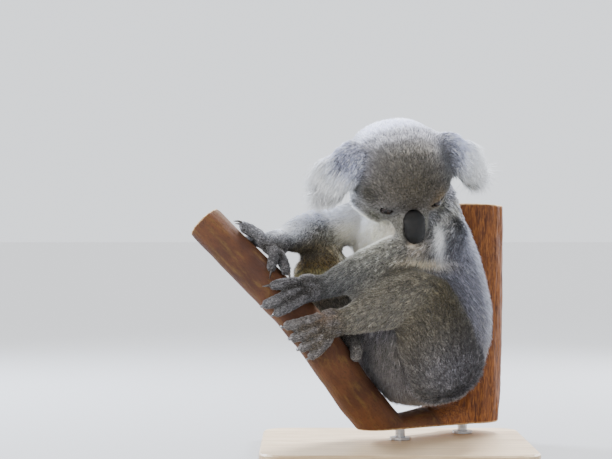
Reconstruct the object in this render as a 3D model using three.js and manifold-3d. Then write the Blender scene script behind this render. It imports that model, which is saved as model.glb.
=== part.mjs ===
// A life-size koala sitting in the fork of a cut gum tree, on a plain display stand.
// Millimetres, +Z up. The origin is the centre of the stand's underside; the display side faces -Y.
// The solids are the animal's outline out to the tips of its coat. Its parts are cut where a person
// would name them, and keep a thin gap so that no two share any space.
import * as THREE from "three";
import { LoftGeometry } from "three/addons/geometries/LoftGeometry.js";
import { mergeVertices } from "three/addons/utils/BufferGeometryUtils.js";
import Module from "manifold-3d";

const wasm = await Module();
wasm.setup();

const GAP = 0.5; // between any two solids that meet
const SMOOTHED = 0.2; // how far a surface may move where needless small faces are merged
const SEAT_HEIGHT = 64; // underside of the rump above the floor
const SIT_HEIGHT = 300; // rump to the top of the shoulders
const BODY_WIDTH = 206; // across the haunches, with the coat
const BODY_DEPTH = 212; // belly to back, with the coat
const BODY_TURN = -50; // the body faces the display side's left, in degrees about Z
const BODY_X = 38;
const BODY_Y = 8;

const HEAD_WIDTH = 148; // across the cheeks
const HEAD_HEIGHT = 128;
const HEAD_AT = [4, -80, 387];
const HEAD_TURN = 26; // the face turns back to the display side's right
const HEAD_BOW = 53; // and looks down
const HEAD_TILT = 15; // with its left eye raised
const EYE_RADIUS = 9;
const EYE_APART = 69;
const EAR_DROOP = 7; // the left ear hangs this much lower

const PALM_HALF_WIDTH = 19;
const DIGIT_RADIUS = 7.5;
const CLAW_LENGTH = 14;
const CLAW_RADIUS = 2.6;

const PERCH_CUT = 34; // height of the perch's sawn underside
const LEANING_RADIUS = 28.5; // the leaning limb that the hands and feet hold
const UPRIGHT_RADIUS = 47; // the upright limb behind the back
const UPRIGHT_TOP = 352;

const BASE_SIZE = [380, 320, 16];
const BASE_CORNER = 34;
const baseTop = BASE_SIZE[2];
const ROD_RADIUS = 7;
const COLLAR_RADIUS = 15;
const COLLAR_HEIGHT = 4;

const COLOURS = {
  coat: [0x8b8883, 0.95, 0],
  pale_coat: [0xd9d2c2, 0.95, 0],
  nose: [0x2a2725, 0.55, 0],
  eye: [0x2b1a10, 0.15, 0],
  claw: [0x2e2a26, 0.5, 0],
  bark: [0x7a4a2c, 0.85, 0],
  board: [0x26221f, 0.5, 0],
  steel: [0xb4b6b8, 0.35, 1],
};

const vector = (x, y, z) => new THREE.Vector3(x, y, z);
const mix = THREE.MathUtils.lerp;
const radians = THREE.MathUtils.degToRad;

// ---- Shapes -------------------------------------------------------------------------------------

// A closed geometry as a solid that can be cut and joined.
function solid({ attributes, index }) {
  const bare = new THREE.BufferGeometry().setAttribute("position", attributes.position).setIndex(index);
  const merged = mergeVertices(bare, 1e-3);
  return new wasm.Manifold(
    new wasm.Mesh({
      numProp: 3,
      vertProperties: merged.attributes.position.array,
      triVerts: new Uint32Array(merged.index.array),
    }),
  );
}

// A rounded body along a smooth line. Each station is [point, half width, half depth]. `across` is the
// way the width is measured, and `dome` how far the two ends swell past the first and last station.
function form(stations, across, { sides = 14, rings = 8, dome = [1, 1], turns = [72, 36], grow = 0 } = {}) {
  const line = new THREE.CatmullRomCurve3(stations.map(([at]) => at));
  const sizes = new THREE.CatmullRomCurve3(stations.map(([, wide, deep]) => vector(wide, deep, 0)));
  const ring = (t, shift, scale) => {
    const centre = line.getPoint(t);
    const along = line.getTangent(t);
    const side = across.clone().projectOnPlane(along).normalize();
    const deep = along.clone().cross(side);
    const size = sizes.getPoint(t);
    centre.addScaledVector(along, shift);
    return Array.from({ length: sides }, (_, i) => {
      const a = (2 * Math.PI * i) / sides;
      return centre
        .clone()
        .addScaledVector(side, Math.cos(a) * (size.x + grow) * scale)
        .addScaledVector(deep, Math.sin(a) * (size.y + grow) * scale);
    });
  };
  const ends = [stations[0], stations.at(-1)].map(
    ([, wide, deep], i) => ((wide + deep) / 2) * dome[i] + grow,
  );
  const domed = turns.map(radians);
  const sections = [
    ...domed.map((a) => ring(0, -Math.sin(a) * ends[0], Math.cos(a))),
    ...Array.from({ length: rings + 1 }, (_, i) => ring(i / rings, 0, 1)),
    ...domed.toReversed().map((a) => ring(1, Math.sin(a) * ends[1], Math.cos(a))),
  ];
  return solid(new LoftGeometry(sections, { capStart: true, capEnd: true }));
}

const join = (...solids) => solids.reduce((all, one) => all.add(one));

// The largest piece that is left of a solid once its neighbours are cut away.
function trimmed(whole, neighbours) {
  const rest = neighbours.reduce((left, one) => left.subtract(one), whole);
  return rest.simplify(SMOOTHED).decompose().sort((a, b) => b.volume() - a.volume())[0];
}

// A frame of its own for the body or the head: x to its left, y to its back, z up.
function frame(at, turn, bow, tilt) {
  const matrix = new THREE.Matrix4()
    .makeTranslation(...at)
    .multiply(new THREE.Matrix4().makeRotationZ(radians(turn)))
    .multiply(new THREE.Matrix4().makeRotationX(radians(bow)))
    .multiply(new THREE.Matrix4().makeRotationY(radians(-tilt)));
  return {
    at: (x, y, z) => vector(x, y, z).applyMatrix4(matrix),
    way: (x, y, z) => vector(x, y, z).transformDirection(matrix),
  };
}

// ---- The perch ----------------------------------------------------------------------------------

const leaning = new THREE.CatmullRomCurve3(
  [
    [-266, -70, 326],
    [-210, -88, 270],
    [-172, -98, 233],
    [-131, -100, 190],
    [-101, -86, 150],
    [-64, -44, 94],
    [-26, -8, 46],
    [8, 18, 8],
  ].map((p) => vector(...p)),
);
const LEANING_LENGTH = leaning.getLength();

// A point around the leaning limb: `down` is the way from its upper end, and `angle` is 0 on the display
// side and 90 on the side that faces the animal. `lift` is the height over the bark.
function around(down, angle, lift) {
  const u = down / LEANING_LENGTH;
  const along = leaning.getTangentAt(u);
  const front = vector(0, -1, 0).projectOnPlane(along).normalize();
  const inner = front.clone().cross(along);
  const out = front.multiplyScalar(Math.cos(radians(angle))).addScaledVector(inner, Math.sin(radians(angle)));
  return leaning.getPointAt(u).addScaledVector(out, LEANING_RADIUS + lift);
}

function leaningLimb(grow) {
  const stations = leaning.points.map((at, i) => [at, mix(26.5, 31, i / 7), mix(26.5, 31, i / 7)]);
  return form(stations, vector(0, 1, 0), { sides: 14, rings: 8, dome: [0.02, 0.02], turns: [], grow });
}

function uprightLimb(grow) {
  const low = [vector(108, 96, PERCH_CUT - 20), UPRIGHT_RADIUS + 3, UPRIGHT_RADIUS + 1];
  const middle = [vector(118, 112, 170), UPRIGHT_RADIUS, UPRIGHT_RADIUS];
  const high = [vector(124, 122, UPRIGHT_TOP), UPRIGHT_RADIUS - 3, UPRIGHT_RADIUS - 3];
  const shape = { sides: 16, rings: 2, dome: [0.02, 0.02], turns: [], grow };
  return form([low, middle, high], vector(1, 0, 0), shape);
}

// The crotch of the fork, a saddle of wood between the two limbs.
function crotch(grow) {
  const saddle = [
    [vector(-14, -2, 28), 29, 25],
    [vector(40, 42, 28), 36, 30],
    [vector(100, 90, 34), 43, 42],
  ];
  return form(saddle, vector(0.7, -0.7, 0), { sides: 12, rings: 3, dome: [0.6, 0.3], turns: [50], grow });
}

function belowCut() {
  return solid(new THREE.BoxGeometry(900, 900, 200).translate(0, 0, PERCH_CUT - 100));
}

// ---- The body -----------------------------------------------------------------------------------

const body = frame([BODY_X, BODY_Y, 0], BODY_TURN, 0, 0);
const head = frame(HEAD_AT, HEAD_TURN, HEAD_BOW, HEAD_TILT);
const left = body.way(1, 0, 0);

// Both halves of the trunk: the spine curls forward from a broad rump to the shoulders.
function trunk(grow) {
  const wide = BODY_WIDTH / 2;
  const deep = BODY_DEPTH / 2;
  const up = (share) => SEAT_HEIGHT + SIT_HEIGHT * share;
  const stations = [
    [body.at(0, 6, up(0.1)), wide * 0.7, deep * 0.68],
    [body.at(0, 2, up(0.26)), wide * 0.95, deep * 0.96],
    [body.at(0, 0, up(0.43)), wide, deep],
    [body.at(0, -6, up(0.6)), wide * 0.93, deep * 0.94],
    [body.at(0, -16, up(0.76)), wide * 0.84, deep * 0.86],
    [body.at(0, -30, up(0.9)), wide * 0.7, deep * 0.72],
  ];
  return form(stations, left, { sides: 16, rings: 7, dome: [0.42, 0.5], turns: [64, 34], grow });
}

function neck(grow) {
  const stations = [
    [body.at(6, -18, 312), 76, 74],
    [body.at(14, -34, 354), 68, 68],
    [head.at(0, 42, -14), 62, 54],
  ];
  return form(stations, left, { sides: 10, rings: 2, dome: [0.3, 0.3], turns: [45], grow });
}

// ---- The head -----------------------------------------------------------------------------------

function skull(grow) {
  const wide = HEAD_WIDTH / 2;
  const high = HEAD_HEIGHT / 2;
  const stations = [
    [head.at(0, 62, 8), wide * 0.8, high * 0.68],
    [head.at(0, 36, 6), wide * 0.97, high * 0.93],
    [head.at(0, 0, 2), wide, high],
    [head.at(0, -28, -2), wide * 0.88, high * 0.86],
    [head.at(0, -45, -5), wide * 0.66, high * 0.64],
  ];
  const across = head.way(1, 0, 0);
  return form(stations, across, { sides: 16, rings: 6, dome: [0.4, 0.25], turns: [64, 34], grow });
}

function cheek(side, grow) {
  const stations = [
    [head.at(side * 44, 16, -20), 25, 31],
    [head.at(side * 49, -8, -22), 25, 32],
    [head.at(side * 36, -30, -26), 20, 25],
  ];
  return form(stations, head.way(1, 0, 0), { sides: 10, rings: 2, dome: [0.8, 0.7], turns: [50], grow });
}

function muzzle(grow) {
  const stations = [
    [head.at(0, -30, -14), 34, 30],
    [head.at(0, -56, -24), 27, 21],
    [head.at(0, -72, -32), 21, 15],
  ];
  return form(stations, head.way(1, 0, 0), { sides: 12, rings: 3, dome: [0.3, 0.6], turns: [50], grow });
}

function chin(grow) {
  const stations = [
    [head.at(0, -18, -46), 30, 18],
    [head.at(0, -50, -47), 20, 13],
    [head.at(0, -66, -48), 14, 9],
  ];
  return form(stations, head.way(1, 0, 0), { sides: 8, rings: 2, dome: [0.5, 0.8], turns: [50], grow });
}

// The bare leathery pad from between the eyes to the mouth.
function nose(grow) {
  const stations = [
    [head.at(0, -56, -4), 8.5, 5],
    [head.at(0, -66, -11), 14, 8],
    [head.at(0, -76, -23), 16, 9],
    [head.at(0, -82, -35), 13, 8],
  ];
  return form(stations, head.way(1, 0, 0), { sides: 12, rings: 4, dome: [0.7, 0.7], turns: [50], grow });
}

const eyeCentre = (side) => head.at((side * EYE_APART) / 2, -46, 0);

function eye(side, grow) {
  const ball = new THREE.SphereGeometry(EYE_RADIUS + grow, 10, 7);
  const at = eyeCentre(side);
  return solid(ball.translate(at.x, at.y, at.z));
}

// The parting in the coat in front of each eye.
function eyeOpening(side) {
  const from = eyeCentre(side);
  const out = head.way(side * 0.35, -0.9, 0.05);
  const stations = [
    [from.clone().addScaledVector(out, 4), 6.5, 4.5],
    [from.clone().addScaledVector(out, 16), 11, 8.5],
  ];
  return form(stations, head.way(1, 0, 0.1 * side), { sides: 10, rings: 1, dome: [0.3, 0.3], turns: [50] });
}

const eyeOpenings = () => join(eyeOpening(1), eyeOpening(-1));
const headWhole = (grow) =>
  join(skull(grow), cheek(1, grow), cheek(-1, grow), muzzle(grow), chin(grow)).subtract(eyeOpenings());

// A round ear set wide on the head, its coat hanging out and down past the edge.
function ear(side, grow) {
  const stations = [
    [head.at(side * 56, 16, 36), 26, 17],
    [head.at(side * 76, 12, 31), 34, 18],
    [head.at(side * 102, -2, 7), 36, 16],
    [head.at(side * 118, -8, -13), 25, 12],
    [head.at(side * 125, -11, -23), 14, 8],
  ];
  if (side > 0) for (const [at] of stations) at.z -= EAR_DROOP;
  const across = head.way(side * 0.05, 0.88, 0.45);
  return form(stations, across, { sides: 12, rings: 5, dome: [0.4, 0.8], turns: [50], grow });
}

// ---- The limbs of the body ----------------------------------------------------------------------

// Joint positions of the near (left) and far (right) arm and leg, from the trunk out.
const ARMS = {
  left: { shoulder: vector(74, -42, 314), elbow: vector(4, -80, 281), wrist: vector(-103, -112, 238) },
  right: { shoulder: vector(-38, 28, 328), elbow: vector(-108, 18, 316), wrist: vector(-156, -60, 303) },
};
const LEGS = {
  left: { hip: vector(66, -34, 122), knee: vector(30, -112, 230), ankle: vector(-72, -116, 192) },
  right: { hip: body.at(-58, -16, 136), knee: vector(-113, 2, 266), ankle: vector(-62, -28, 172) },
};

function upperArm({ shoulder, elbow }, grow) {
  const stations = [
    [shoulder, 38, 40],
    [shoulder.clone().lerp(elbow, 0.5), 32, 33],
    [shoulder.clone().lerp(elbow, 0.97), 29, 30],
  ];
  return form(stations, left, { sides: 11, rings: 3, dome: [0.6, 0.4], turns: [50], grow });
}

function forearm({ shoulder, elbow, wrist }, grow) {
  const start = elbow.clone().lerp(shoulder, 0.05);
  const stations = [
    [start, 30, 33],
    [elbow.clone().lerp(wrist, 0.4), 29, 32],
    [elbow.clone().lerp(wrist, 0.75), 23, 25],
    [wrist, 17, 19],
  ];
  return form(stations, vector(0, 1, 0), { sides: 11, rings: 4, dome: [0.6, 0.3], turns: [50], grow });
}

function thigh({ hip, knee }, grow) {
  const stations = [
    [hip, 60, 68],
    [hip.clone().lerp(knee, 0.5), 56, 62],
    [hip.clone().lerp(knee, 0.97), 41, 44],
  ];
  return form(stations, left, { sides: 12, rings: 4, dome: [0.6, 0.5], turns: [60, 30], grow });
}

function shin({ hip, knee, ankle }, grow) {
  const start = knee.clone().lerp(hip, 0.04);
  const stations = [
    [start, 40, 42],
    [knee.clone().lerp(ankle, 0.4), 33, 38],
    [knee.clone().lerp(ankle, 0.75), 24, 28],
    [ankle, 18, 22],
  ];
  return form(stations, vector(0, 1, 0), { sides: 11, rings: 4, dome: [0.7, 0.3], turns: [50], grow });
}

// A hand or foot. `down` and `angle` say where its palm lies on the leaning limb. Each digit is
// [start down, start angle, end down, end angle, thickness], counted from the palm's own place.
const GRIPS = {
  left_hand: {
    from: ARMS.left.wrist,
    down: 165,
    angle: 60,
    claws: 5,
    digits: [
      [-9, -2, -30, -48, 1],
      [1, -6, -19, -90, 1.05],
      [10, -4, -2, -84, 1],
      [-6, 6, -14, 86, 1],
      [8, 6, 8, 82, 1],
    ],
  },
  right_hand: {
    from: ARMS.right.wrist,
    down: 88,
    angle: 98,
    claws: 5,
    digits: [
      [-9, -3, -44, -20, 1],
      [-9, 4, -46, 14, 1.05],
      [-7, 10, -36, 46, 1],
      [8, -5, 29, -59, 1],
      [10, 2, 44, -32, 1],
    ],
  },
  left_foot: {
    from: LEGS.left.ankle,
    down: 209,
    angle: 38,
    claws: 4,
    digits: [
      [-9, -3, -26, -66, 1.05],
      [-2, -6, -10, -74, 1.05],
      [6, -6, 6, -74, 1],
      [11, -3, 20, -66, 0.95],
      [4, 6, 9, 74, 1.25],
    ],
  },
  right_foot: {
    from: LEGS.right.ankle,
    down: 262,
    angle: 128,
    claws: 4,
    digits: [
      [-9, 3, -26, 76, 1.05],
      [-2, 6, -9, 84, 1.05],
      [6, 6, 7, 80, 1],
      [11, 3, 20, 72, 0.95],
      [4, -6, 9, -66, 1.25],
    ],
  },
};

function palm({ from, down, angle }, grow) {
  const seat = around(down, angle, 12);
  const alongLimb = around(down + 10, angle, 12).sub(around(down - 10, angle, 12));
  const stations = [
    [from.clone().lerp(seat, 0.02), PALM_HALF_WIDTH - 3, 16],
    [from.clone().lerp(seat, 0.6), PALM_HALF_WIDTH, 14],
    [seat, PALM_HALF_WIDTH, 11.5],
  ];
  return form(stations, alongLimb, { sides: 8, rings: 2, dome: [0.3, 0.6], turns: [45], grow });
}

// The way across a line of points that runs over the bark, at the place of its middle.
function acrossLine(line, down, angle) {
  const out = around(down, angle, 1).sub(around(down, angle, 0));
  return line.at(-1).clone().sub(line[0]).cross(out).normalize();
}

// Where a digit runs: over the bark from the palm to the root of its claw.
function digitLine({ down, angle }, [down0, angle0, down1, angle1]) {
  const lifts = [11, 12.5, 10, 7];
  return lifts.map((lift, i) => {
    const share = i / 3;
    return around(down + mix(down0, down1, share), angle + mix(angle0, angle1, share), lift);
  });
}

function digit(grip, row, grow) {
  const radius = DIGIT_RADIUS * row[4];
  const sizes = [1.05, 1, 0.95, 0.8].map((share) => radius * share);
  const line = digitLine(grip, row);
  const across = acrossLine(line, grip.down + (row[0] + row[2]) / 2, grip.angle + (row[1] + row[3]) / 2);
  const stations = line.map((at, i) => [at, sizes[i], sizes[i]]);
  return form(stations, across, { sides: 5, rings: 3, dome: [0.4, 0.8], turns: [45], grow });
}

// A curved claw that goes on the way its digit runs, from the tip down to the bark.
function claw({ down, angle }, [down0, angle0, down1, angle1]) {
  const run = new THREE.Vector2(down1 - down0, radians(angle1 - angle0) * LEANING_RADIUS);
  run.setLength(CLAW_LENGTH);
  const turn = THREE.MathUtils.radToDeg(run.y / LEANING_RADIUS);
  const steps = [
    [0, 9, 1],
    [0.4, 9.5, 0.92],
    [0.75, 6.5, 0.6],
    [1, 2.6, 0.2],
  ];
  const stations = steps.map(([share, lift, size]) => [
    around(down + down1 + run.x * share, angle + angle1 + turn * share, lift),
    CLAW_RADIUS * size * 0.8,
    CLAW_RADIUS * size,
  ]);
  const across = acrossLine(stations.map(([at]) => at), down + down1 + run.x / 2, angle + angle1 + turn / 2);
  return form(stations, across, { sides: 5, rings: 2, dome: [0.3, 0.6], turns: [45] });
}

const paw = (grip, grow) => join(palm(grip, grow), ...grip.digits.map((row) => digit(grip, row, grow)));

// ---- The stand ----------------------------------------------------------------------------------

function standBase() {
  const [wide, deep, thick] = BASE_SIZE;
  const bevel = 2.5;
  const x = wide / 2 - bevel;
  const y = deep / 2 - bevel;
  const r = BASE_CORNER;
  const outline = new THREE.Shape()
    .moveTo(-x + r, -y)
    .lineTo(x - r, -y)
    .absarc(x - r, -y + r, r, -Math.PI / 2, 0)
    .lineTo(x, y - r)
    .absarc(x - r, y - r, r, 0, Math.PI / 2)
    .lineTo(-x + r, y)
    .absarc(-x + r, y - r, r, Math.PI / 2, Math.PI)
    .lineTo(-x, -y + r)
    .absarc(-x + r, -y + r, r, Math.PI, 1.5 * Math.PI);
  const board = new THREE.ExtrudeGeometry(outline, {
    depth: thick - 2 * bevel,
    bevelSize: bevel,
    bevelThickness: bevel,
    bevelSegments: 1,
    curveSegments: 3,
  });
  return solid(board.translate(0, 0, bevel));
}

function post([x, y], radius, low, high) {
  const cylinder = new THREE.CylinderGeometry(radius, radius, high - low, 12);
  cylinder.rotateX(Math.PI / 2).translate(x, y, (low + high) / 2);
  return solid(cylinder);
}

const ROD_PLACES = [
  [8, 14],
  [104, 92],
];

// ---- Assembly -----------------------------------------------------------------------------------

const koala = new THREE.Group();
const taken = []; // the solids placed so far, each grown by the gap

// Places a solid in what room the ones before it have left.
function place(name, finish, make) {
  const { numProp, vertProperties, triVerts } = trimmed(make(0), taken).getMesh();
  taken.push(make(GAP));
  const count = vertProperties.length / numProp;
  const points = new Float32Array(count * 3);
  for (let i = 0; i < count; i++) points.set(vertProperties.subarray(i * numProp, i * numProp + 3), i * 3);
  const geometry = new THREE.BufferGeometry();
  geometry.setAttribute("position", new THREE.BufferAttribute(points, 3));
  geometry.setIndex(new THREE.BufferAttribute(triVerts, 1));
  geometry.computeVertexNormals();
  const [color, roughness, metalness] = COLOURS[finish];
  const mesh = new THREE.Mesh(geometry, new THREE.MeshStandardMaterial({ color, roughness, metalness }));
  mesh.name = name;
  koala.add(mesh);
}

place("stand_base", "board", standBase);
ROD_PLACES.forEach((at, i) => {
  place(`stand_rod_${i + 1}`, "steel", (grow) => post(at, ROD_RADIUS + grow, baseTop + GAP, PERCH_CUT - GAP));
  const collarTop = baseTop + COLLAR_HEIGHT;
  place(`stand_collar_${i + 1}`, "steel", () => post(at, COLLAR_RADIUS, baseTop + GAP, collarTop));
});
place("perch", "bark", (grow) => {
  return join(leaningLimb(grow), uprightLimb(grow), crotch(grow)).subtract(belowCut());
});

const SIDES = [
  ["left", 1],
  ["right", -1],
];
place("nose", "nose", nose);
for (const [name, side] of SIDES) place(`eye_${name}`, "eye", (grow) => eye(side, grow));
place("head", "coat", headWhole);
for (const [name, side] of SIDES) place(`ear_${name}`, "pale_coat", (grow) => ear(side, grow));
for (const [name] of SIDES) {
  for (const limb of ["hand", "foot"]) {
    const grip = GRIPS[`${name}_${limb}`];
    place(`${limb}_${name}`, "coat", (grow) => paw(grip, grow));
    grip.digits.slice(0, grip.claws).forEach((row, i) => {
      place(`claw_${limb}_${name}_${i + 1}`, "claw", () => claw(grip, row));
    });
  }
}
place("trunk", "coat", trunk);
for (const [name] of SIDES) {
  place(`forearm_${name}`, "coat", (grow) => forearm(ARMS[name], grow));
  place(`upper_arm_${name}`, "coat", (grow) => upperArm(ARMS[name], grow));
}
place("neck", "pale_coat", neck);
for (const [name] of SIDES) {
  place(`shin_${name}`, "coat", (grow) => shin(LEGS[name], grow));
  place(`thigh_${name}`, "coat", (grow) => thigh(LEGS[name], grow));
}

export default koala;
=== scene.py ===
import math

import bmesh
import bpy
import numpy as np
from mathutils import Matrix, Vector, noise
from mathutils.bvhtree import BVHTree
from mathutils.kdtree import KDTree


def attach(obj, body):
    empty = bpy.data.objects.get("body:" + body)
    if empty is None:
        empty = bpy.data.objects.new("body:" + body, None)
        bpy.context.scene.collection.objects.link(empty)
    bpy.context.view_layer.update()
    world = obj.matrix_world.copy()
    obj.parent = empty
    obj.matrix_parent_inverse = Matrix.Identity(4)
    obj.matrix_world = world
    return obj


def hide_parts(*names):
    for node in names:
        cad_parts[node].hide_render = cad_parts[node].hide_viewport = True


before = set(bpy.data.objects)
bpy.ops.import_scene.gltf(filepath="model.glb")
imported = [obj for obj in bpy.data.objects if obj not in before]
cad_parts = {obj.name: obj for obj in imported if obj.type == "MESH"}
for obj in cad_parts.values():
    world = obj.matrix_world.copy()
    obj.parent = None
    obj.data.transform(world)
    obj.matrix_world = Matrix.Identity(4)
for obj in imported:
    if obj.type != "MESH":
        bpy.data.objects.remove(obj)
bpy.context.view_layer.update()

# ---- The room -----------------------------------------------------------------------------------
# A pale studio: one plain floor that runs away behind the model. The main light falls from high
# behind the animal, two lamps at the back give its crown, back and ears a bright rim, and a soft one
# stands in front.

scene = bpy.context.scene


def linear(red, green, blue):
    """A colour of 0 to 255 values as the light amounts that a shader wants."""
    parts = (np.array((red, green, blue), float) / 255).clip(0, 1)
    return np.where(parts < 0.04045, parts / 12.92, ((parts + 0.055) / 1.055) ** 2.4)


def opaque(red, green, blue):
    return (*linear(red, green, blue), 1.0)


def camera_at(place, view_width):
    """A level camera that looks along +Y and sees view_width metres across at y = 0."""
    camera = bpy.data.objects.new("camera", bpy.data.cameras.new("camera"))
    camera.data.sensor_width = 36
    camera.data.lens = 36 * -place[1] / view_width
    camera.data.clip_start = 0.05
    camera.location = place
    camera.rotation_euler = (math.pi / 2, 0, 0)
    scene.collection.objects.link(camera)
    scene.camera = camera


def lamp(name, place, target, size, power, colour):
    light = bpy.data.lights.new(name, "AREA")
    light.shape, light.size, light.energy = "DISK", size, power
    light.color = linear(*colour)
    holder = bpy.data.objects.new(name, light)
    holder.location = place
    holder.rotation_euler = (Vector(target) - Vector(place)).to_track_quat("-Z", "Y").to_euler()
    scene.collection.objects.link(holder)


def daylight(name, way, strength, spread, colour):
    """An even light over the whole floor, from the direction that way points to."""
    light = bpy.data.lights.new(name, "SUN")
    light.energy, light.angle = strength, math.radians(spread)
    light.color = linear(*colour)
    holder = bpy.data.objects.new(name, light)
    holder.rotation_euler = Vector(way).to_track_quat("Z", "Y").to_euler()
    scene.collection.objects.link(holder)


camera_at((-0.1264, -2.4, 0.316), 0.869)
daylight("high_window", (0.2, 0.8, 1.3), 7.5, 16, (250, 251, 255))
lamp("rim_left", (-1.3, 1.1, 1.2), (-0.05, 0, 0.3), 0.7, 96, (225, 236, 255))
lamp("rim_right", (1.2, 1.3, 1.0), (0.05, 0, 0.3), 0.7, 66, (236, 242, 255))
lamp("front", (-1.5, -2.0, 0.95), (0, 0, 0.28), 1.4, 38, (255, 250, 242))

world = bpy.data.worlds.new("room")
world.use_nodes = True
world.node_tree.nodes["Background"].inputs["Color"].default_value = opaque(232, 236, 241)
world.node_tree.nodes["Background"].inputs["Strength"].default_value = 1.75
scene.world = world


class Wire:
    """A socket of a material's node tree that takes part in Python expressions."""

    def __init__(self, tree, socket):
        self.tree, self.socket = tree, socket

    def add(self, kind, settings=None, inputs=None, output=0):
        """Adds a node: its settings come first, then the values or wires of its sockets."""
        node = self.tree.nodes.new(kind)
        for key, value in (settings or {}).items():
            setattr(node, key, value)
        for key, value in (inputs or {}).items():
            if isinstance(value, Wire):
                self.tree.links.new(value.socket, node.inputs[key])
            else:
                node.inputs[key].default_value = value
        return Wire(self.tree, node.outputs[output])

    def math(self, operation, *terms):
        return self.add("ShaderNodeMath", {"operation": operation}, dict(enumerate(terms)))

    def __add__(self, other):
        return self.math("ADD", self, other)

    __radd__ = __add__

    def __sub__(self, other):
        return self.math("SUBTRACT", self, other)

    def __rsub__(self, other):
        return self.math("SUBTRACT", other, self)

    def __mul__(self, other):
        return self.math("MULTIPLY", self, other)

    __rmul__ = __mul__

    def step(self, low, high):
        """0 below low, 1 above high, with a soft slope between."""
        return self.add(
            "ShaderNodeMapRange",
            {"interpolation_type": "SMOOTHSTEP"},
            {"Value": self, "From Min": low, "From Max": high},
        )

    def mix(self, first, second):
        """From the first colour to the second, by this wire."""
        return self.add(
            "ShaderNodeMix",
            {"data_type": "RGBA"},
            {0: self, 6: first, 7: second},
            output=2,
        )

    def stretched(self, x, y, z):
        return self.add("ShaderNodeVectorMath", {"operation": "MULTIPLY"}, {0: self, 1: (x, y, z)})

    def far(self):
        """The length of a vector."""
        return self.add("ShaderNodeVectorMath", {"operation": "LENGTH"}, {0: self}, "Value")

    def noise(self, scale, detail=3.0, roughness=0.55):
        settings = {"noise_dimensions": "3D"}
        inputs = {"Vector": self, "Scale": scale, "Detail": detail, "Roughness": roughness}
        return self.add("ShaderNodeTexNoise", settings, inputs)


def finish(name, roughness, **fixed):
    """A new material, the wire of its object coordinates, and its shader's sockets by name."""
    material = bpy.data.materials.new(name)
    material.use_nodes = True
    tree = material.node_tree
    shader = tree.nodes["Principled BSDF"].inputs
    shader["Roughness"].default_value = roughness
    for key, value in fixed.items():
        shader[key.replace("_", " ").title().replace("Ior", "IOR")].default_value = value
    start = Wire(tree, tree.nodes.new("ShaderNodeTexCoord").outputs["Object"])
    return material, start, shader


def into(wire, socket):
    wire.tree.links.new(wire.socket, socket)


def bump(height, strength, distance):
    return height.add(
        "ShaderNodeBump", None, {"Strength": strength, "Distance": distance, "Height": height}
    )


def give(piece, material):
    piece.data.materials.clear()
    piece.data.materials.append(material)


def object_of(name, mesh, material):
    """A finished piece of the model at the origin, riding on its one body."""
    piece = bpy.data.objects.new(name, mesh)
    scene.collection.objects.link(piece)
    give(piece, material)
    mesh.shade_smooth()
    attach(piece, "root")
    return piece


floor_mesh = bpy.data.meshes.new("floor")
floor_mesh.from_pydata([(-30, -12, 0), (30, -12, 0), (30, 40, 0), (-30, 40, 0)], [], [(0, 1, 2, 3)])
floor = bpy.data.objects.new("floor", floor_mesh)
scene.collection.objects.link(floor)
floor_finish, _, floor_shader = finish("floor", 0.9, specular_ior_level=0.1)
floor_shader["Base Color"].default_value = opaque(160, 160, 160)
give(floor, floor_finish)

# ---- The stand ----------------------------------------------------------------------------------
# A flat board of pale oiled ash with rounded corners, and two short turned steel rods in collars that
# carry the cut fork of the tree.

wood, place, shader = finish("oiled_ash", 0.5, coat_weight=0.12, coat_roughness=0.35)
streaks = place.stretched(0.9, 14.0, 14.0).noise(9.0, 5.0)
pores = place.stretched(5.0, 160.0, 160.0).noise(8.0, 3.0)
grain = streaks.step(0.36, 0.64)
colour = grain.mix(opaque(176, 148, 112), opaque(203, 179, 144))
into((pores.step(0.55, 0.7) * 0.4).mix(colour, opaque(132, 104, 74)), shader["Base Color"])
into(0.42 + 0.16 * grain, shader["Roughness"])
into(bump(pores, 0.25, 0.0004), shader["Normal"])
give(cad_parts["stand_base"], wood)

steel, place, shader = finish("turned_steel", 0.3, metallic=1.0)
turned = place.stretched(1.0, 1.0, 60.0).noise(30.0, 4.0)
into(turned.step(0.3, 0.7).mix(opaque(150, 150, 152), opaque(186, 187, 190)), shader["Base Color"])
into(0.24 + 0.16 * turned, shader["Roughness"])
into(bump(turned, 0.15, 0.0002), shader["Normal"])
for number in (1, 2):
    give(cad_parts[f"stand_rod_{number}"], steel)
    give(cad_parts[f"stand_collar_{number}"], steel)

# ---- The fork of the tree -----------------------------------------------------------------------
# A cut length of a smooth-barked gum: a leaning limb that the animal grips, and the thicker upright
# stem behind it, whose bark is fibrous. Sawn ends show pale wood with rings.

MM = 0.001


def merged_copy(nodes, grow):
    """Copies of CAD nodes as one bmesh of closed shells, each moved outwards a little."""
    whole = bmesh.new()
    for node in nodes:
        part = bmesh.new()
        part.from_mesh(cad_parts[node].data)
        bmesh.ops.remove_doubles(part, verts=part.verts, dist=1e-6)
        part.normal_update()
        for vert in part.verts:
            vert.co += vert.normal * grow
        shell = bpy.data.meshes.new("shell")
        part.to_mesh(shell)
        part.free()
        whole.from_mesh(shell)
        bpy.data.meshes.remove(shell)
    return whole


def remeshed(shells, voxel):
    """One even skin of small faces round the shells."""
    mesh = bpy.data.meshes.new("shells")
    shells.to_mesh(mesh)
    shells.free()
    holder = bpy.data.objects.new("holder", mesh)
    scene.collection.objects.link(holder)
    modifier = holder.modifiers.new("skin", "REMESH")
    modifier.mode, modifier.voxel_size = "VOXEL", voxel
    depsgraph = bpy.context.evaluated_depsgraph_get()
    result = bpy.data.meshes.new_from_object(holder.evaluated_get(depsgraph))
    bpy.data.objects.remove(holder)
    bpy.data.meshes.remove(mesh)
    return result


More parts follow.
